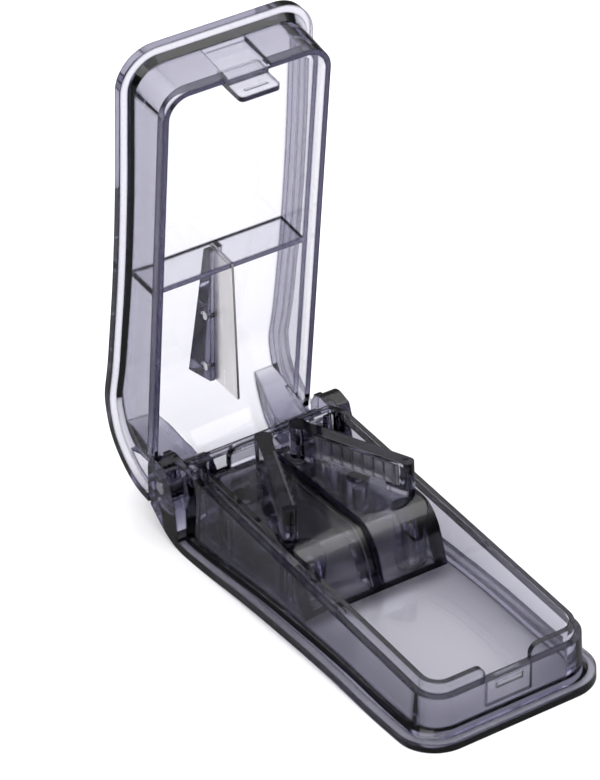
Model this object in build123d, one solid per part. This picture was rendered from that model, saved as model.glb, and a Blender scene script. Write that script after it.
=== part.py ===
from build123d import *
import math
import os

# Pill splitter: clear tray with a blade lid. Millimetres, +Z up, -Y is the opening front.
# Everything is drawn with the hinge axis over y = 0 and the table at z = 0. On export it moves back
# by HEEL, so that the part's origin is the middle of the rear heel, where the base rests on the table.
# Side profiles are lists of (distance forward of the hinge, height) pairs.

# ---- hinge and frames ----
TILT = 4.84            # the parting plane slopes down to the front by this angle
HINGE_Z = 10.95        # hinge axis above the table
HEEL = 9.8             # middle of the rear heel, forward of the hinge axis
OPEN = 85.37           # lid angle in the modelled pose, measured from closed
PART_N = 6.54          # parting plane above the hinge axis
PIN_R, PIN_IN, PIN_OUT = 1.4, 12.0, 19.6
EAR_IN, EAR_OUT = 16.5, 21.0
KNUCKLE_R, KNUCKLE_IN, KNUCKLE_OUT = 3.6, 9.4, 16.25
GUSSET_SIDE = [(9.4, -2), (9.4, 6), (10.4, 11), (11.6, 16), (12.6, 19.5)]      # half width, height

# ---- shells ----
FLANGE_W, FLANGE_R, FLANGE_T = 21.0, 8.0, 1.9
BASE_FRONT = 13.57     # straight front pad of the base flange
WALL_W, WALL_L, WALL_R, DRAFT = 18.1, 87.2, 5.5, 3.5
LEDGE_W, ROOT_W, ROOT_T = 19.45, 17.6, 4.3   # half widths where the ledge and the root rise end, its height
FLOOR_T, UNDERCUT = 2.4, 1.0
BASE_IN_W, BASE_IN_L, BASE_IN_R = 15.7, 84.8, 3.2
LIP_W, LIP_L, LIP_R, LIP_H = 16.7, 85.8, 4.2, 2.5
REAR_OUT, REAR_IN, REAR_H = 5.0, 6.8, 3.0
TAB_OUT, TAB_IN, TAB_W, TAB_H = 3.7, 5.3, 7.7, 7.4
LID_IN_W, LID_IN_L, LID_IN_R, ROOF_T = 16.0, 84.6, 3.0, 1.3
REBATE_W, REBATE_L, REBATE_R, REBATE_N = 16.95, 86.05, 4.4, 9.2
RIB_S, RIB_T = 39.6, 1.2
WALL_END = -0.4        # the lid's side walls stop this far ahead of the hinge

# ---- blade ----
BLADE_T, BLADE_FIT = 0.5, 0.03
EDGE_A, EDGE_B = (10.3, 4.7), (40.4, 9.0)
CLAMP_S, CLAMP_N = 9.4, 12.8       # rear end of the clamp and of the rib that it faces
RIVETS = [(12.4, 14.3), (24.3, 15.3)]
RIVET_R, RIVET_HEAD = 0.55, 0.9

# ---- pill bed and mechanism (heights above the table) ----
BED_TOP, BED_BOT, BED_W = 15.2, 3.62, 15.3
BED_WALL, BED_ROOF, BED_REAR, BED_CORNER = 2.0, 2.2, 8.0, 3.4
SLOT_W, SLOT_D = 2.3, 1.1
KEEL_D, KEEL_REAR = 5.0, 19.0      # solid keel under the groove: its depth below the bed's skin, its rear end
PIVOT_X, PIVOT_Y = 3.9, -12.0
ARM_HALF_ANGLE, ARM_L, ARM_W = 21.8, 25.1, 2.8
ARM_TOP, ARM_FOOT, ARM_RELIEF = 22.5, 15.42, 17.1
BOSS_R, SHAFT_R, JOURNAL_R = 1.8, 1.6, 1.1
GEAR_TEETH, GEAR_Z0, GEAR_Z1 = 13, 9.9, 12.5
HUB_R, HUB_Z0 = 2.1, 7.5
PLATE_Z0, PLATE_Z1 = 4.7, 6.2
SPRING_R, WIRE_R = 2.7, 0.22
SCREW_POS = [(-11.2, -16.5), (11.2, -16.5), (-11.2, -37.5), (11.2, -37.5)]
PLATE_SCREW_POS = [(-9.6, -23.7), (9.6, -23.7)]

# Underside of the base: rear heel, shallow arch, front pad (forward, above the table).
UNDER_ARCH = [(76, 0), (60, 0.85), (43.5, 1.12), (27, 0.78), (11, 0)]
UNDER_REAR = [(8.6, 0), (6.9, 0.13), (3.62, 0.97), (0.27, 2.95), (-3.3, 5.98)]
# Top of the closed lid, front to rear (forward of the hinge, above the hinge).
LID_TOP = [(90.18, 19.15), (76, 18.6), (60, 18.05), (48, 18.0), (36, 18.25), (24, 18.85), (14, 19.6),
           (9, 20.0), (4.9, 19.06), (1.23, 17.34), (-1.73, 14.58), (-4.11, 10.96), (-5.5, 6.2), (-5.55, 3.1)]

RIM = Pos(0, 0, HINGE_Z) * Rot(TILT, 0, 0)      # closed-lid and rim frame -> part frame
LIDF = RIM * Rot(-OPEN, 0, 0)                   # the same frame carried by the open lid


def yz(pts, x=0.0):
    return [Vector(x, -s, n) for s, n in pts]


def side_prism(pts, x0, x1):
    """Solid from a closed side profile, between two planes of constant x."""
    face = make_face(Polyline(*yz(pts, x0), close=True))
    return extrude(face, amount=x1 - x0, dir=(1, 0, 0))


def both_sides(solid):
    return solid + mirror(solid, about=Plane.YZ)


def plan(half_w, s0, s1, r, n):
    """Rounded plan outline at height n, from s0 to s1 forward of the hinge."""
    return Pos(0, -(s0 + s1) / 2, n) * RectangleRounded(2 * half_w, s1 - s0, r)


def block(x0, x1, s0, s1, n0, n1):
    return Pos((x0 + x1) / 2, -(s0 + s1) / 2, (n0 + n1) / 2) * Box(x1 - x0, s1 - s0, n1 - n0)


def x_cyl(r, x0, x1, s=0.0, n=0.0):
    return Pos((x0 + x1) / 2, -s, n) * Rot(0, 90, 0) * Cylinder(r, x1 - x0)


def z_cyl(r, x, y, z0, z1):
    return Pos(x, y, (z0 + z1) / 2) * Cylinder(r, z1 - z0)


def under_curve(lift):
    """Underside of the base behind its straight front pad, as edges, lifted by a constant height."""
    arch = [(s, n + lift) for s, n in UNDER_ARCH]
    rear = [(s, n + lift) for s, n in UNDER_REAR]
    back = Vector(0, 1, 0)
    return [Spline(*yz(arch), tangents=[back, back]), Line(*yz([arch[-1], rear[0]])),
            Spline(*yz(rear), tangents=[back, Vector(0, 0.73, 0.68)])]


def beyond_curve(edges, lead, depth):
    """Everything between a side curve and a given height, with a lead-in point in front of the curve."""
    last = edges[-1] @ 1
    outline = Polyline(last, Vector(0, last.Y, depth), Vector(0, lead.Y, depth), lead, edges[0] @ 0)
    return Pos(-30, 0, 0) * extrude(make_face(Curve() + edges + [outline]), amount=60, dir=(1, 0, 0))


def floor_side(lift, depth):
    """Everything above (or, for a low depth, below) the lifted underside curve."""
    return beyond_curve(under_curve(lift), Vector(0, -94, lift), depth)


def swept_flange(edges, inward):
    """Edge flange swept along a side curve: a flat ledge with a steep rise at the wall root."""
    plane = Plane(origin=edges[0] @ 0, x_dir=(1, 0, 0), z_dir=edges[0] % 0)
    k = 1 if inward * plane.y_dir.Z > 0 else -1
    half = [(FLANGE_W, 0), (FLANGE_W, k * FLANGE_T), (LEDGE_W, k * FLANGE_T), (ROOT_W, k * ROOT_T)]
    pts = half + [(-x, y) for x, y in reversed(half)]
    return sweep(plane * make_face(Polyline(*pts, close=True)), path=Wire(edges))


def front_flange(length):
    """Straight front of a flange with its two round corners; local z points inwards, s runs forward."""
    ledge = FLANGE_W - LEDGE_W
    flat = extrude(plan(FLANGE_W, -20, length, FLANGE_R, 0), amount=FLANGE_T)
    root = extrude(plan(LEDGE_W, -20, length - ledge, FLANGE_R - ledge, FLANGE_T), amount=ROOT_T - FLANGE_T,
                   taper=math.degrees(math.atan2(LEDGE_W - ROOT_W, ROOT_T - FLANGE_T)))
    return (flat + root) & block(-30, 30, 0, length + 5, -1, 9)


# ---------------------------------------------------------------- base body
def ear_profile():
    arc = ThreePointArc(*yz([(-3.5, 3.0), (-2.45, 5.6), (0.2, 6.65)]))
    rest = Polyline(*yz([(0.2, 6.65), (3.2, 6.0), (6.2, -1.0), (7.4, -9.2), (0.6, -8.6), (-2.3, -5.6),
                         (-3.0, -3.9), (-3.5, -3.0), (-3.5, 3.0)]))
    return make_face(Curve() + [arc, rest])


def base_walls():
    """Drafted outer walls down into the floor, with the raised lip of the parting line."""
    outer = extrude(plan(WALL_W, -12, WALL_L, WALL_R, PART_N), amount=20, dir=(0, 0, -1), taper=-DRAFT)
    outer &= block(-30, 30, REAR_OUT, 95, -20, 10)
    side = side_prism([(-3.0, -3.9), (-2.6, 6.0), (0.2, PART_N), (6.0, PART_N), (6.0, -12), (0, -12)],
                      EAR_IN, WALL_W)
    outer += both_sides(side)
    lip = extrude(plan(LIP_W, -30, LIP_L, LIP_R, PART_N - 1), amount=LIP_H + 1)
    ramp = side_prism([(-40, PART_N - 2), (2.5, PART_N - 2), (2.5, PART_N), (8.5, PART_N + LIP_H),
                       (8.5, 20), (-40, 20)], -30, 30)
    outline = Pos(0, TAB_H - 6) * RectangleRounded(2 * TAB_W, 12, 2.2)
    tab = extrude(Plane.XZ * outline, amount=TAB_IN - TAB_OUT)
    tab = Pos(0, -TAB_OUT, 0) * tab
    return outer, lip - ramp, tab


def latch_pocket():
    """Gap in the front lip and the pocket behind it for the lid's tongue, with its snap groove."""
    gap = block(-5, 5, 84, 86.5, PART_N, 12) + block(-7, 7, 84, 86.5, PART_N + 0.55, 12)
    for x in (-7, 7):
        gap -= Pos(x, -85, PART_N + 0.5) * Rot(90, 0, 0) * Cylinder(2, 8)
    pocket = block(-5, 5, 84, 85.45, -0.2, 12)
    groove = block(-2.9, 2.9, 85, 85.85, 3.4, 4.9)
    return gap + pocket + groove


def base_shell():
    walls, lip, tab = base_walls()
    body = walls + lip
    body -= block(-BASE_IN_W, BASE_IN_W, REAR_OUT - 1, REAR_IN, REAR_H, 12)
    body += tab
    for x in (-1, 1):
        body += extrude(Pos(x * EAR_IN, 0, 0) * ear_profile(), amount=EAR_OUT - EAR_IN, dir=(x, 0, 0))
    body = RIM * body - floor_side(0.5, -40)
    body += swept_flange(under_curve(0), 1) + Pos(0, -UNDER_ARCH[0][0], 0) * front_flange(BASE_FRONT)
    cavity = extrude(plan(BASE_IN_W, REAR_IN, BASE_IN_L, BASE_IN_R, -14), amount=40)
    body -= (RIM * cavity) & floor_side(FLOOR_T, 80)
    swing = x_cyl(4.9, -EAR_IN, EAR_IN) + both_sides(x_cyl(6.0, BASE_IN_W - 0.1, EAR_IN))
    body -= RIM * (swing + latch_pocket())
    recess = extrude(plan(17.4, 13, 84.5, 4.0, -5), amount=20)
    body -= recess & floor_side(UNDERCUT, -40)
    body -= RIM * both_sides(x_cyl(PIN_R, EAR_IN - 1, PIN_OUT + 0.02))
    for x, y in SCREW_POS:
        body += z_cyl(3.0, x, y, 1.3, BED_BOT - 0.02)
    for x, y in SCREW_POS:
        body -= z_cyl(1.25, x, y, -1, 6) + z_cyl(2.3, x, y, -1, 1.95)
    for x in (-1, 1):                        # small bumps that hold the closed lid
        body += RIM * block(x * LIP_W - 0.15, x * LIP_W + 0.15, 54.5, 58.5, 7.7, 8.2)
    return body


def hinge_pin(side):
    pin = x_cyl(PIN_R, PIN_IN, PIN_OUT)
    pin = chamfer(pin.edges(), 0.25)
    return RIM * (pin if side > 0 else mirror(pin, about=Plane.YZ))


# ---------------------------------------------------------------- pill bed
def bed_profile(d, top, rear, bottom=BED_BOT):
    """Side profile of the bed, inset by d: flat top, rounded front falling steeply to the floor."""
    foot = 45.0 - d
    pts = [(36.5, top), (39.9 - 0.8 * d, top - 1.1), (42.0 - d, top - 3.4), (43.4 - d, top - 6.8),
           (foot, BED_BOT)]
    front = Spline(*yz(pts), tangents=[Vector(0, -1, 0), Vector(0, -0.4, -0.92)])
    corners = [(foot, BED_BOT), (foot, bottom), (rear, bottom), (rear, top), (36.5, top)]
    rest = Polyline(*yz(corners[0 if bottom < BED_BOT else 1:]))
    return make_face(Curve() + [front, rest])


def across(face, width):
    """Side profile extruded to a width centred on the middle plane."""
    return Pos(-width / 2, 0, 0) * extrude(face, amount=width, dir=(1, 0, 0))


def pill_bed():
    roof = BED_TOP - BED_ROOF
    outer = across(bed_profile(0, BED_TOP, BED_REAR), 2 * BED_W)
    outer &= extrude(plan(BED_W, BED_REAR, 60, BED_CORNER, BED_BOT - 1), amount=20)
    bed = outer - across(bed_profile(BED_WALL, roof, BED_REAR - 5, BED_BOT - 2), 2 * (BED_W - BED_WALL))
    slot = across(bed_profile(-2, BED_TOP + 2, 0), SLOT_W)
    slot -= across(bed_profile(SLOT_D, BED_TOP - SLOT_D, 0), SLOT_W)
    bed -= slot & block(-5, 5, BED_REAR - 1, 60, BED_BOT + 0.8, 30)
    keel = across(bed_profile(SLOT_D, BED_TOP - SLOT_D, KEEL_REAR), SLOT_W)
    bed += keel - across(bed_profile(KEEL_D, BED_TOP - KEEL_D, KEEL_REAR - 1), SLOT_W + 1)
    for x, y in SCREW_POS:
        bed += z_cyl(2.9, x, y, BED_BOT, roof + 0.5) & outer
        bed -= z_cyl(0.95, x, y, BED_BOT - 1, 10.6)
    for x, y in PLATE_SCREW_POS:
        bed += z_cyl(2.2, x, y, PLATE_Z1 + 0.02, roof + 0.5)
        bed -= z_cyl(0.75, x, y, PLATE_Z1 - 1, 11.0)
    for x in (-1, 1):
        bed -= z_cyl(SHAFT_R + 0.05, x * PIVOT_X, PIVOT_Y, 8, 20)
        bed += z_cyl(0.7, x * (PIVOT_X + SPRING_R + WIRE_R + 0.72), PIVOT_Y - 3.4, HUB_Z0 - 0.2, roof + 0.5)
    return bed


def mechanism_plate():
    """Plate under the bed that carries the lower ends of the arm shafts."""
    plate = extrude(Pos(0, -18.3, PLATE_Z0) * RectangleRounded(25.0, 17.4, 2.5), amount=PLATE_Z1 - PLATE_Z0)
    for x in (-1, 1):
        plate -= z_cyl(JOURNAL_R + 0.05, x * PIVOT_X, PIVOT_Y, 0, 10)
    for x, y in PLATE_SCREW_POS:
        plate -= z_cyl(1.05, x, y, 0, 10)
    for x, y in SCREW_POS:
        plate -= z_cyl(3.2, x, y, 0, 10)
    return plate


def cross_screw(x, y, head_z, head_r, head_h, shank_r, length):
    """Pan-head screw driven upwards, head downwards, with a cross recess."""
    screw = z_cyl(head_r, x, y, head_z, head_z + head_h)
    screw = fillet(screw.edges().group_by(Axis.Z)[0], head_h * 0.45)
    screw += z_cyl(shank_r, x, y, head_z + head_h - 0.01, head_z + head_h + length)
    screw -= Pos(x, y, head_z) * Box(head_r * 1.1, head_r * 0.26, head_h)
    screw -= Pos(x, y, head_z) * Box(head_r * 0.26, head_r * 1.1, head_h)
    return screw


def bed_screws():
    return Compound([cross_screw(x, y, 1.0, 2.0, 0.93, 0.93, 8.2) for x, y in SCREW_POS])


def plate_screws():
    return Compound([cross_screw(x, y, PLATE_Z0 - 0.82, 1.5, 0.8, 0.73, 6.0) for x, y in PLATE_SCREW_POS])


# ---------------------------------------------------------------- grip arms
def arm_frame(side):
    """Frame at a pivot with +X along the arm towards its front end."""
    return Pos(side * PIVOT_X, PIVOT_Y, 0) * Rot(0, 0, -90 + side * ARM_HALF_ANGLE)


def grip_arm(side):
    bar = Pos(ARM_L / 2, 0, ARM_FOOT) * Box(ARM_L, ARM_W, ARM_TOP - ARM_FOOT,
                                            align=(Align.CENTER, Align.CENTER, Align.MIN))
    bar += Pos(ARM_L, 0, ARM_FOOT) * Cylinder(ARM_W / 2, ARM_TOP - ARM_FOOT,
                                              align=(Align.CENTER, Align.CENTER, Align.MIN))
    bar -= Pos(12.4, 0, ARM_FOOT) * Box(17.2, 10, 2 * (ARM_RELIEF - ARM_FOOT))
    bar += z_cyl(BOSS_R, 0, 0, BED_TOP + 0.05, ARM_TOP)
    bar -= Pos(14.6, -side * ARM_W / 2, 19.7) * Box(19.2, 1.2, 4.6)
    bar -= z_cyl(0.8, ARM_L, 0, ARM_TOP - 0.15, ARM_TOP + 1)
    bar += z_cyl(SHAFT_R, 0, 0, GEAR_Z1, BED_TOP + 0.2)
    bar += z_cyl(SHAFT_R, 0, 0, HUB_Z0, GEAR_Z1 + 0.1) - Pos(-1.1 - 1, 0, 8.0) * Box(2, 8, 9.0)
    bar += z_cyl(JOURNAL_R, 0, 0, PLATE_Z0 + 0.1, HUB_Z0 + 0.1)
    return arm_frame(side) * bar


def grip_strip(side):
    """Ribbed strip let into the inner face of an arm."""
    face = -side * (ARM_W / 2 - 0.28)
    strip = Pos(14.6, face, 19.7) * Box(19.1, 0.6, 4.5)
    for i in range(8):
        x = 6.2 + 2.4 * i
        strip += Pos(x, face - side * 0.3, 19.7) * Cylinder(0.25, 4.5)
    return arm_frame(side) * strip


def sector_gear(side):
    """Gear sector and hub on the lower shaft; the pair keeps the arms opening equally."""
    pitch = PIVOT_X
    module = 2 * pitch / GEAR_TEETH
    root, tip = pitch - 1.2 * module, pitch + 0.9 * module
    step = 2 * math.pi / GEAR_TEETH
    start = 0.0 if side > 0 else step / 2    # one gear has a tooth on the line of centres, the other a gap
    gear = z_cyl(root, 0, 0, GEAR_Z0, GEAR_Z1)
    for i in range(-3, 4 if side > 0 else 3):
        a = math.pi + start + i * step
        w0, w1 = 0.27 * step * root, 0.13 * step * tip
        tooth = make_face(Polyline((root - 0.4, -w0), (tip, -w1), (tip, w1), (root - 0.4, w0), close=True))
        gear += Pos(0, 0, GEAR_Z0) * Rot(0, 0, math.degrees(a)) * extrude(tooth, amount=GEAR_Z1 - GEAR_Z0)
    gear += z_cyl(HUB_R, 0, 0, HUB_Z0 + 0.5, GEAR_Z0 + 0.1)
    gear += block(2.9, 3.75, -1.65, -0.95, GEAR_Z0, GEAR_Z0 + 1)
    gear += z_cyl(0.35, 3.4, 1.3, GEAR_Z0 - 1.2, GEAR_Z0 + 0.1)
    gear = gear if side > 0 else mirror(gear, about=Plane.YZ)
    gear = Pos(side * PIVOT_X, PIVOT_Y, 0) * gear
    bore = z_cyl(SHAFT_R + 0.02, 0, 0, 0, 20) - Pos(-1.12 - 1, 0, 10) * Box(2, 8, 30)
    return gear - arm_frame(side) * bore


def shaft_clip(side):
    """Spring clip on the shaft that keeps the sector from dropping."""
    clip = z_cyl(2.1, 0, 0, 7.05, 7.4) - z_cyl(JOURNAL_R + 0.01, 0, 0, 6, 8) - Pos(0, -2, 7) * Box(1.5, 4, 2)
    return Pos(side * PIVOT_X, PIVOT_Y, 0) * clip


def arm_spring(side):
    """Torsion spring round the hub: upper leg against the sector's post, lower leg against the bed's."""
    turns, z0 = 3, 8.0
    pitch = 0.5
    coil = Helix(pitch=pitch, height=turns * pitch, radius=SPRING_R)
    low = Line(coil @ 0 - (coil % 0) * 4.1, coil @ 0)
    high = Line(coil @ 1, coil @ 1 + (coil % 1) * 1.6)
    path = Wire([low, coil, high])
    spring = sweep(Plane(origin=low @ 0, z_dir=low % 0) * Circle(WIRE_R), path=path)
    spring = Pos(PIVOT_X, PIVOT_Y, z0) * spring
    return spring if side > 0 else mirror(spring, about=Plane.YZ)


# ---------------------------------------------------------------- lid body
def inset(pts, d):
    """Side curve moved towards the inside of the lid by d."""
    out = []
    for i, (s, n) in enumerate(pts):
        s0, n0 = pts[max(i - 1, 0)]
        s1, n1 = pts[min(i + 1, len(pts) - 1)]
        t = math.hypot(s1 - s0, n1 - n0)
        out.append((s - (n1 - n0) / t * d, n + (s1 - s0) / t * d))
    return out


def lid_curve(d):
    """Top and rear skin of the closed lid behind its straight front, moved inwards by d."""
    pts = inset(LID_TOP, d)[1:]
    s0, n0 = LID_TOP[0]
    s1, n1 = LID_TOP[1]
    return Spline(*yz(pts), tangents=[Vector(0, s0 - s1, n1 - n0), Vector(0, 0.05, -1)])


def under_lid(d):
    """Everything below the lid's top and rear skin, moved inwards by d."""
    s0, n0 = LID_TOP[0]
    s1, n1 = LID_TOP[1]
    k = 95.0 - s1
    curve = lid_curve(d)
    start = curve @ 0
    lead = start + Vector(0, -k, k * (n0 - n1) / (s0 - s1))
    return beyond_curve([curve], lead, -25)


def knuckles():
    """Hinge barrels and the solid gussets that carry them from the rear skin, narrowing towards it."""
    front = [(1.0, 2.2), (0.9, 5.0), (1.4, 8.0), (2.2, 10.4), (2.9, 12.6), (3.2, 14.8), (3.3, 19.0)]
    rear = [(-6.0, 19.0), (-6.0, 5.0), (-4.8, 3.1), (-3.2, -1.2), (0.5, -1.0)]
    gusset = side_prism(front + rear, KNUCKLE_IN, KNUCKLE_OUT)
    outline = [Vector(x, -9, n) for x, n in GUSSET_SIDE + [(17, 19.5), (17, -2)]]
    gusset &= extrude(make_face(Polyline(*outline, close=True)), amount=20, dir=(0, 1, 0))
    return both_sides((gusset & under_lid(0.5)) + x_cyl(KNUCKLE_R, KNUCKLE_IN, KNUCKLE_OUT))


def tongue():
    """Latch tongue on the front wall with its snap ridge."""
    plate = block(-4.4, 4.4, 84.1, 85.15, 2.3, 10.5)
    plate = fillet(plate.edges().filter_by(Axis.Y).group_by(Axis.Z)[0], 1.0)
    bar = block(-4.4, 4.4, 84.1, 86.4, 6.8, 9.6)
    return plate + bar + block(-2.5, 2.5, 85.1, 85.3, 3.9, 4.4)


def lid_flange():
    """Swept flange and skin of the lid with its rounded front."""
    (s0, n0), (s1, n1) = LID_TOP[0], LID_TOP[1]
    front = mirror(front_flange(math.hypot(s0 - s1, n0 - n1)), about=Plane.XY)
    front = Pos(0, -s1, n1) * Rot(-math.degrees(math.atan2(n0 - n1, s0 - s1)), 0, 0) * front
    return swept_flange([lid_curve(0)], -1) + front


def lid_shell():
    walls = extrude(plan(WALL_W, -12, WALL_L, WALL_R, PART_N), amount=16, taper=-DRAFT) & under_lid(0.4)
    inner = extrude(plan(LID_IN_W, -12, LID_IN_L, LID_IN_R, -20), amount=50) & under_lid(ROOF_T)
    lid = walls + lid_flange() - inner
    rebate = extrude(plan(REBATE_W, -12, REBATE_L, REBATE_R, 0), amount=REBATE_N)
    lid -= rebate & block(-30, 30, 0.5, 95, 0, 12)
    lid += block(-LID_IN_W - 0.1, LID_IN_W + 0.1, RIB_S, RIB_S + RIB_T, REBATE_N, 17.6)
    lid += side_prism([(CLAMP_S, CLAMP_N), (RIB_S + 0.1, 15.2), (RIB_S + 0.1, 17.6), (CLAMP_S, 19.0)],
                      BLADE_T / 2 + BLADE_FIT, 1.5)
    slot = BLADE_T / 2 + BLADE_FIT
    lid -= block(-slot, slot, RIB_S - 0.1, EDGE_B[0] + 0.05, 8, 16.5)
    lid -= block(-4.7, 4.7, 86.6, 90, 6.0, 15.6)
    lid += tongue() + knuckles()
    beside = EAR_IN - 0.2                    # everything further out keeps clear of the base's ears
    ear_gap = side_prism([(-3.7, -8), (-3.7, 4.2), (-2.6, 6.2), (0.2, 6.8), (9, 6.8), (9, -8)], beside, 40)
    lid -= both_sides((ear_gap & x_cyl(6.85, 0, 60)) + x_cyl(5.12, beside, 40))
    lid -= both_sides(block(beside, 19.0, -8, WALL_END, 6, 20) & under_lid(FLANGE_T))
    lid -= both_sides(x_cyl(PIN_R + 0.06, PIN_IN - 0.3, 30))
    for s, n in RIVETS:
        lid -= x_cyl(RIVET_R + 0.02, 0, 5, s, n)
    return LIDF * lid


def blade_profile():
    (s0, n0), (s1, n1) = EDGE_A, EDGE_B
    return [(s0, n0), (s1, n1), (s1, 16.4), (s0 - 0.3, 16.9), (s0 - 1.0, 15.9)]


def blade():
    t = BLADE_T / 2
    body = side_prism(blade_profile(), -t, t)
    (s0, n0), (s1, n1) = EDGE_A, EDGE_B
    a = math.degrees(math.atan2(n1 - n0, s1 - s0))
    for x in (-1, 1):                        # ground bevels that leave a thin edge
        wedge = make_face(Polyline((x * 0.06, -1), (x * 0.06, 0), (x * t, 1.6), (x * 2, 1.6), (x * 2, -1),
                                   close=True))
        cut = extrude(Plane.XZ * wedge, amount=60, dir=(0, -1, 0))
        body -= Pos(0, -s0 + 8, n0 - 8 * math.tan(math.radians(a))) * Rot(a, 0, 0) * cut
    for s, n in RIVETS:
        body -= x_cyl(RIVET_R + 0.02, -2, 2, s, n)
    return LIDF * body


def blade_clamp():
    """Wedge that holds the blade against the lid's centre rib."""
    x0 = -BLADE_T / 2 - BLADE_FIT

    def section(s, n_free, n_roof, x_free, x_roof):
        pts = [(x0, n_free), (x_free, n_free), (x_roof, n_roof), (x0, n_roof)]
        return make_face(Polyline(*[Vector(x, -s, n) for x, n in pts], close=True))

    wedge = loft([section(CLAMP_S, CLAMP_N, 18.1, -1.3, -3.0), section(39.2, 15.1, 16.6, -1.2, -1.7)])
    for s, n in RIVETS:
        wedge -= x_cyl(RIVET_R + 0.02, -6, 2, s, n)
        wedge -= x_cyl(RIVET_HEAD + 0.1, -6, -1.35, s, n)
    return LIDF * wedge


def blade_rivets():
    out = []
    for s, n in RIVETS:
        shank = x_cyl(RIVET_R, -1.5, 1.6, s, n)
        heads = x_cyl(RIVET_HEAD, -1.75, -1.37, s, n) + x_cyl(RIVET_HEAD, 1.52, 1.9, s, n)
        out.append(LIDF * (shank + heads))
    return Compound(out)


PARTS = {
    "base_shell": base_shell,
    "hinge_pin_left": lambda: hinge_pin(-1),
    "hinge_pin_right": lambda: hinge_pin(1),
    "pill_bed": pill_bed,
    "mechanism_plate": mechanism_plate,
    "bed_screws": bed_screws,
    "plate_screws": plate_screws,
    "left_arm": lambda: grip_arm(-1),
    "right_arm": lambda: grip_arm(1),
    "left_grip_strip": lambda: grip_strip(-1),
    "right_grip_strip": lambda: grip_strip(1),
    "left_sector": lambda: sector_gear(-1),
    "right_sector": lambda: sector_gear(1),
    "left_shaft_clip": lambda: shaft_clip(-1),
    "right_shaft_clip": lambda: shaft_clip(1),
    "left_arm_spring": lambda: arm_spring(-1),
    "right_arm_spring": lambda: arm_spring(1),
    "lid_shell": lid_shell,
    "blade": blade,
    "blade_clamp": blade_clamp,
    "blade_rivets": blade_rivets,
}

os.makedirs("parts", exist_ok=True)
for name, make in PARTS.items():
    solid = Pos(0, HEEL, 0) * make()
    export_step(solid, os.path.join("parts", name + ".step"))
    print(name, "solids", len(solid.solids()), "volume", round(solid.volume, 1), "valid", solid.is_valid)
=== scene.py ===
import math

import bpy
from mathutils import Matrix, Vector

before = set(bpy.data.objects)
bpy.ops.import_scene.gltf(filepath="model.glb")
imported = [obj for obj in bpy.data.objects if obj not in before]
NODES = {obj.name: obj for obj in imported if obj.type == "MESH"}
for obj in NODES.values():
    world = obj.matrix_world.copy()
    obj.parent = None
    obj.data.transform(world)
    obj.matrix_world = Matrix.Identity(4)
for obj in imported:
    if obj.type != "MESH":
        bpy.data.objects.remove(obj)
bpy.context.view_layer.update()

MM = 0.001
SMOOTH_BELOW = math.radians(28)        # faces meeting at less than this are shaded as one surface

# Camera: place, view axes and focal length, in the part's frame.
CAM_PLACE = Vector((-0.339746, -0.562761, 0.443591))
CAM_RIGHT = Vector((0.83675, -0.54591, -0.04282))
CAM_UP = Vector((0.32156, 0.42656, 0.84537))
CAM_LENS = 188.7
SENSOR = 36.0
CAM_CLIP = (0.01, 20.0)

# Clear plastic.
CLEAR = (1, 1, 1, 1)
SMOKE = (0.485, 0.473, 0.575)
PAD = (0.66, 0.62, 0.58)
PLASTIC_IOR = 1.49
EDGE_PAINTED_SHADE = (0.035, 0.032, 0.06, 1.0)  # painted shade: the light let through beside a crisp edge is darkened to this
EDGE_REACH = 0.7 * MM
BEVEL_SAMPLES = 4
GROOVE_FADE = 1.15                     # the groove's painted shade band fades out by this many half widths
RIPPLE_SCALE, RIPPLE_STRENGTH, RIPPLE_DEPTH = 55.0, 0.06, 0.0006
SCRATCH_SCALE, SCRATCH_ALONG, SCRATCH_ROUGH = 2600.0, (1.0, 0.04, 1.0), 0.08
SMUDGE_SCALE, SMUDGE_ROUGH = 120.0, 0.035

# Black plastic.
BLACK = (0.035, 0.035, 0.04, 1)
GRAIN_SCALE, GRAIN_STRENGTH, GRAIN_DEPTH = 3000.0, 0.2, 0.00003

# Metals.
BLADE_COLOUR = (0.80, 0.79, 0.76)
PIN_COLOUR = (0.30, 0.30, 0.32)
FASTENER_COLOUR = (0.60, 0.60, 0.61)
BRUSH_SCALE, BRUSH_DEPTH, BRUSH_ROUGH = 1800.0, 0.00002, 0.08
PATCH_SCALE = 90.0                     # slow change of a metal's roughness over its surface

# Floor: half width, drop below the part, where its painted pool of light fades and between which tones.
FLOOR_HALF = 6.0
FLOOR_DROP = 0.02 * MM
FADE_START, FADE_END = 0.55, 1.1
FLOOR_PALE, FLOOR_FAR = 0.92, 0.2
MIRROR_DIM = 0.22                      # painted reflection: the floor's tone, times this, as mirrored in polished plastic
FLOOR_MOTTLE_SCALE = 40.0

# Light.
SKY_STOPS = ((0.0, 0.03), (0.45, 0.12), (0.70, 0.70), (1.0, 1.40))
SKY_BLUE = 1.02
SKY_STRENGTH = 1.8
LIGHT_AIM = Vector((0, -0.04, 0.04))
BOUNCES = {"max_bounces": 24, "transmission_bounces": 24, "transparent_max_bounces": 16,
           "glossy_bounces": 8, "diffuse_bounces": 4}


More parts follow.
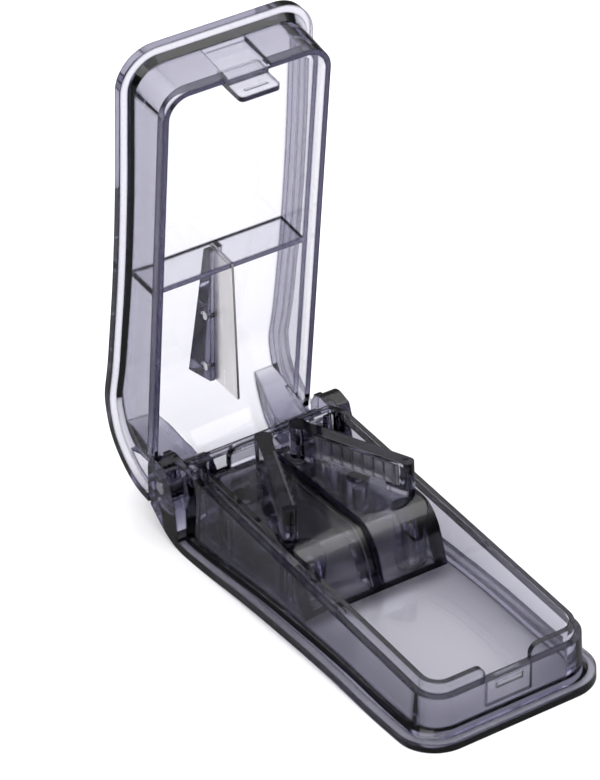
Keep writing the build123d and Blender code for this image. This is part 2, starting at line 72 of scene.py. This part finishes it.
# ---------------------------------------------------------------- node helpers
class Tree:
    """Small helper for writing node trees."""

    def __init__(self, name):
        self.mat = bpy.data.materials.new(name)
        self.mat.use_nodes = True
        self.nodes = self.mat.node_tree.nodes
        self.links = self.mat.node_tree.links
        self.nodes.clear()
        self.out = self.nodes.new("ShaderNodeOutputMaterial")

    def node(self, kind, inputs=None, **settings):
        made = self.nodes.new("ShaderNode" + kind)
        for key, value in settings.items():
            setattr(made, key, value)
        for key, value in (inputs or {}).items():
            self.put(made.inputs[key], value)
        return made

    def put(self, socket, value):
        if isinstance(value, bpy.types.NodeSocket):
            self.links.new(value, socket)
        else:
            socket.default_value = value

    def place(self, scale=(1, 1, 1)):
        coord = self.node("TexCoord").outputs["Object"]
        return self.node("Mapping", {"Vector": coord, "Scale": scale}).outputs["Vector"]

    def noise(self, vector, scale, detail=3.0, rough=0.5):
        return self.node("TexNoise", {"Vector": vector, "Scale": scale, "Detail": detail,
                                      "Roughness": rough}).outputs["Fac"]

    def remap(self, value, a, b, lo, hi):
        return self.node("MapRange", {"Value": value, "From Min": a, "From Max": b, "To Min": lo,
                                      "To Max": hi}).outputs["Result"]

    def math(self, op, a, b=0.0):
        made = self.node("Math", operation=op)
        self.put(made.inputs[0], a)
        self.put(made.inputs[1], b)
        return made.outputs[0]

    def bump(self, height, strength, distance):
        return self.node("Bump", {"Height": height, "Strength": strength,
                                  "Distance": distance}).outputs["Normal"]

    def near_edge(self, radius):
        """1 beside a crisp edge, 0 on an open face."""
        rounded = self.node("Bevel", {"Radius": radius}, samples=BEVEL_SAMPLES).outputs["Normal"]
        flat = self.node("NewGeometry").outputs["Normal"]
        alike = self.node("VectorMath", {0: rounded, 1: flat}, operation="DOT_PRODUCT").outputs["Value"]
        return self.remap(self.math("ABSOLUTE", alike), 0.99, 0.90, 0.0, 1.0)

    def finish(self, surface, volume=None):
        self.links.new(surface, self.out.inputs["Surface"])
        if volume is not None:
            self.links.new(volume, self.out.inputs["Volume"])
        return self.mat


# ---------------------------------------------------------------- materials
def clear_plastic(name, tint, density, haze=0.02, shine=0.5, groove=0.0):
    """Refracting skin over an absorbing inside, with painted shade along crisp edges, mould ripple,
    smudges and scratches.

    groove is the half width of a band of painted shade along the part's centre plane, where the groove
    runs, or 0 for none.
    """
    t = Tree(name)
    where = t.place()
    waves = t.noise(where, RIPPLE_SCALE, 2.0)
    lines = t.noise(t.place(SCRATCH_ALONG), SCRATCH_SCALE, 2.0, 0.6)
    scratches = t.remap(lines, 0.66, 0.74, 0.0, SCRATCH_ROUGH)
    smudge = t.remap(t.noise(where, SMUDGE_SCALE, 4.0, 0.6), 0.45, 0.75, 0.0, SMUDGE_ROUGH)
    rough = t.math("ADD", t.math("ADD", scratches, smudge), haze)
    # Painted shade: the colour is darkened beside crisp edges.
    shade = t.near_edge(EDGE_REACH)
    # Painted shade along the groove, darker than the plastic's own colour.
    if groove:
        across = t.math("ABSOLUTE", t.node("SeparateXYZ", {"Vector": where}).outputs["X"])
        band = t.remap(across, groove, groove * GROOVE_FADE, 1.0, 0.0)
        shade = t.math("MAXIMUM", shade, band)
    colour = t.node("Mix", {"Factor": shade, "A": CLEAR, "B": EDGE_PAINTED_SHADE},
                    data_type="RGBA").outputs["Result"]
    skin = t.node("BsdfPrincipled", {"Base Color": colour, "Roughness": rough, "IOR": PLASTIC_IOR,
                                     "Transmission Weight": 1.0, "Specular IOR Level": shine,
                                     "Normal": t.bump(waves, RIPPLE_STRENGTH, RIPPLE_DEPTH)}).outputs[0]
    inside = t.node("VolumeAbsorption", {"Color": (*tint, 1), "Density": density}).outputs[0]
    return t.finish(skin, inside)


def black_plastic():
    """Moulded black plastic with a fine grain in its roughness and its surface."""
    t = Tree("black_plastic")
    grain = t.noise(t.place(), GRAIN_SCALE)
    rough = t.remap(grain, 0.3, 0.7, 0.35, 0.55)
    skin = t.node("BsdfPrincipled", {"Base Color": BLACK, "Roughness": rough,
                                     "Normal": t.bump(grain, GRAIN_STRENGTH, GRAIN_DEPTH)}).outputs[0]
    return t.finish(skin)


def steel(name, colour, along, roughness, brushing=0.12):
    """Metal with fine brushing, drawn out along the axis that has the small scale in along."""
    t = Tree(name)
    lines = t.noise(t.place(along), BRUSH_SCALE, 3.0, 0.6)
    wide = t.noise(t.place(), PATCH_SCALE)
    slow = t.remap(wide, 0.3, 0.7, roughness - 0.04, roughness + 0.05)
    rough = t.math("ADD", t.remap(lines, 0.3, 0.7, -BRUSH_ROUGH, BRUSH_ROUGH), slow)
    skin = t.node("BsdfPrincipled", {"Base Color": (*colour, 1), "Metallic": 1.0, "Roughness": rough,
                                     "Normal": t.bump(lines, brushing, BRUSH_DEPTH)}).outputs[0]
    return t.finish(skin)


def dress(material, *names):
    for name in names:
        slots = NODES[name].data.materials
        slots.clear()
        slots.append(material)


def dress_all():
    dress(clear_plastic("smoke_shell", SMOKE, 390.0), "base_shell", "lid_shell")
    dress(clear_plastic("smoke_bed", SMOKE, 330.0, haze=0.10, shine=0.15, groove=1.1 * MM), "pill_bed")
    dress(clear_plastic("smoke_clamp", SMOKE, 560.0), "blade_clamp")
    dress(clear_plastic("smoke_arm", SMOKE, 450.0, haze=0.06), "left_arm", "right_arm")
    dress(clear_plastic("grip_pad", PAD, 120.0, haze=0.30), "left_grip_strip", "right_grip_strip")
    dress(black_plastic(), "mechanism_plate", "left_sector", "right_sector")
    dress(steel("blade_steel", BLADE_COLOUR, (1.0, 1.0, 0.03), 0.34, brushing=0.03), "blade")
    dress(steel("pin_steel", PIN_COLOUR, (0.05, 1.0, 1.0), 0.35), "hinge_pin_left", "hinge_pin_right")
    dress(steel("fastener_steel", FASTENER_COLOUR, (1.0, 1.0, 0.2), 0.30), "bed_screws", "plate_screws",
          "left_shaft_clip", "right_shaft_clip", "left_arm_spring", "right_arm_spring", "blade_rivets")


def smooth_all():
    for node in NODES.values():
        node.data.shade_smooth()
        split = node.modifiers.new("smooth", "EDGE_SPLIT")
        split.split_angle = SMOOTH_BELOW


# ---------------------------------------------------------------- stage, light and camera
def floor_material():
    """Pale floor with a painted pool of light that darkens far away, painted darker in mirror
    reflections, with a faint mottle.
    """
    t = Tree("floor_white")
    spot = t.node("TexCoord").outputs["Object"]
    away = t.node("VectorMath", {0: spot}, operation="LENGTH").outputs["Value"]
    # Painted pool of light: pale round the part, darker far away.
    pale = t.node("MapRange", {"Value": away, "From Min": FADE_START, "From Max": FADE_END,
                               "To Min": FLOOR_PALE, "To Max": FLOOR_FAR},
                  interpolation_type="SMOOTHSTEP").outputs["Result"]
    path = t.node("LightPath")
    # Painted reflection: the floor is darker where glossy reflection rays see it.
    mirrored = t.math("MULTIPLY", path.outputs["Is Reflection Ray"], path.outputs["Is Glossy Ray"])
    dim = t.remap(mirrored, 0.0, 1.0, 1.0, MIRROR_DIM)
    mottle = t.remap(t.noise(t.place(), FLOOR_MOTTLE_SCALE, 2.0), 0.3, 0.7, 0.99, 1.0)
    tone = t.math("MULTIPLY", t.math("MULTIPLY", pale, mottle), dim)
    colour = t.node("CombineColor", {"Red": tone, "Green": tone, "Blue": tone}).outputs[0]
    skin = t.node("BsdfPrincipled", {"Base Color": colour, "Roughness": 0.7,
                                     "Specular IOR Level": 0.2}).outputs[0]
    return t.finish(skin)


def make_floor():
    mesh = bpy.data.meshes.new("floor")
    r = FLOOR_HALF
    mesh.from_pydata([(-r, -r, 0), (r, -r, 0), (r, r, 0), (-r, r, 0)], [], [(0, 1, 2, 3)])
    mesh.materials.append(floor_material())
    floor = bpy.data.objects.new("floor", mesh)
    floor.location.z = -FLOOR_DROP
    bpy.context.scene.collection.objects.link(floor)


def make_world():
    """Studio dome: bright overhead, dim near the horizon."""
    world = bpy.data.worlds.new("studio")
    bpy.context.scene.world = world
    world.use_nodes = True
    nodes, links = world.node_tree.nodes, world.node_tree.links
    nodes.clear()
    coord = nodes.new("ShaderNodeTexCoord")
    split = nodes.new("ShaderNodeSeparateXYZ")
    ramp = nodes.new("ShaderNodeValToRGB")
    sky = nodes.new("ShaderNodeBackground")
    out = nodes.new("ShaderNodeOutputWorld")
    links.new(coord.outputs["Generated"], split.inputs[0])
    links.new(split.outputs["Z"], ramp.inputs["Fac"])
    stops = ramp.color_ramp.elements
    for place, level in SKY_STOPS:
        stop = stops[0] if place == 0.0 else stops[-1] if place == 1.0 else stops.new(place)
        stop.position = place
        stop.color = (level, level, level * SKY_BLUE, 1)
    links.new(ramp.outputs["Color"], sky.inputs["Color"])
    sky.inputs["Strength"].default_value = SKY_STRENGTH
    links.new(sky.outputs[0], out.inputs["Surface"])


def softbox(name, place, size, power):
    lamp = bpy.data.lights.new(name, "AREA")
    lamp.shape = "SQUARE"
    lamp.size = size
    lamp.energy = power
    holder = bpy.data.objects.new(name, lamp)
    holder.location = place
    aim = LIGHT_AIM - Vector(place)
    holder.rotation_euler = aim.to_track_quat("-Z", "Y").to_euler()
    bpy.context.scene.collection.objects.link(holder)


def make_camera():
    data = bpy.data.cameras.new("camera")
    data.lens = CAM_LENS
    data.sensor_width = SENSOR
    data.clip_start, data.clip_end = CAM_CLIP
    camera = bpy.data.objects.new("camera", data)
    back = CAM_RIGHT.cross(CAM_UP)
    turn = Matrix((CAM_RIGHT, CAM_UP, back)).transposed().to_4x4()
    camera.matrix_world = Matrix.Translation(CAM_PLACE) @ turn
    bpy.context.scene.collection.objects.link(camera)
    bpy.context.scene.camera = camera


def set_view():
    """Plain colour transform, and bounces enough for light to cross several clear walls."""
    scene = bpy.context.scene
    scene.view_settings.view_transform = "Standard"
    for name, count in BOUNCES.items():
        setattr(scene.cycles, name, count)


dress_all()
smooth_all()
make_floor()
make_world()
softbox("key", (0.60, -0.30, 1.15), 0.9, 4.5)
softbox("fill", (-0.8, -0.4, 0.9), 0.9, 6.0)
make_camera()
set_view()
